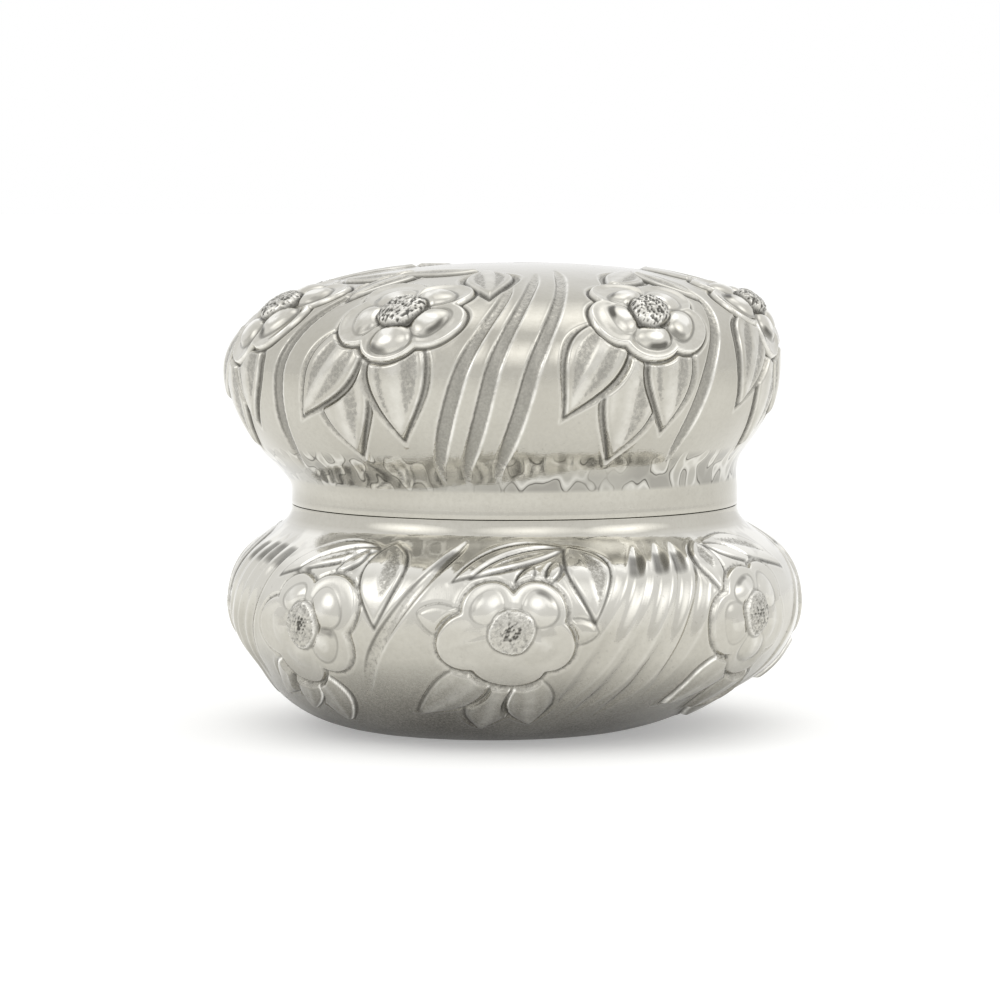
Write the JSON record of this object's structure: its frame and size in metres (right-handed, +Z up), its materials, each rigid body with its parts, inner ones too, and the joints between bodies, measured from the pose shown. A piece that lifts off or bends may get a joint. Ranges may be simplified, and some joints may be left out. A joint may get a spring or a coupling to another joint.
{
  "type": "trinket box",
  "caption": "Round waisted trinket box in chased silver: a bulging base bowl and a lift-off domed lid, with flowers, leaves and slanting flutes in relief.",
  "frame": {"origin": "on the flat underside, straight below the centre of the seam and its rings", "axes": "+Z up through the lid, the way the lid lifts off; -Y toward the side seen in the picture; +X to its right"},
  "size_m": [0.1161, 0.1159, 0.0922],
  "materials": {
    "chased_silver": "polished silver with satin chased lines",
    "plain_silver": "polished silver",
    "inner_silver": "satin silver"
  },
  "bodies": {
    "base": {"base_shell": "chased_silver", "bottom_disc": "plain_silver", "base_mouth_ring": "plain_silver", "locating_collar": "inner_silver"},
    "lid": {"lid_shell": "chased_silver", "lid_mouth_ring": "plain_silver"}
  },
  "joints": [
    {"name": "lid_lift", "type": "slide", "parent": "base", "child": "lid", "axis": [0, 0, 1], "range_m": [0, 0.06]}
  ]
}
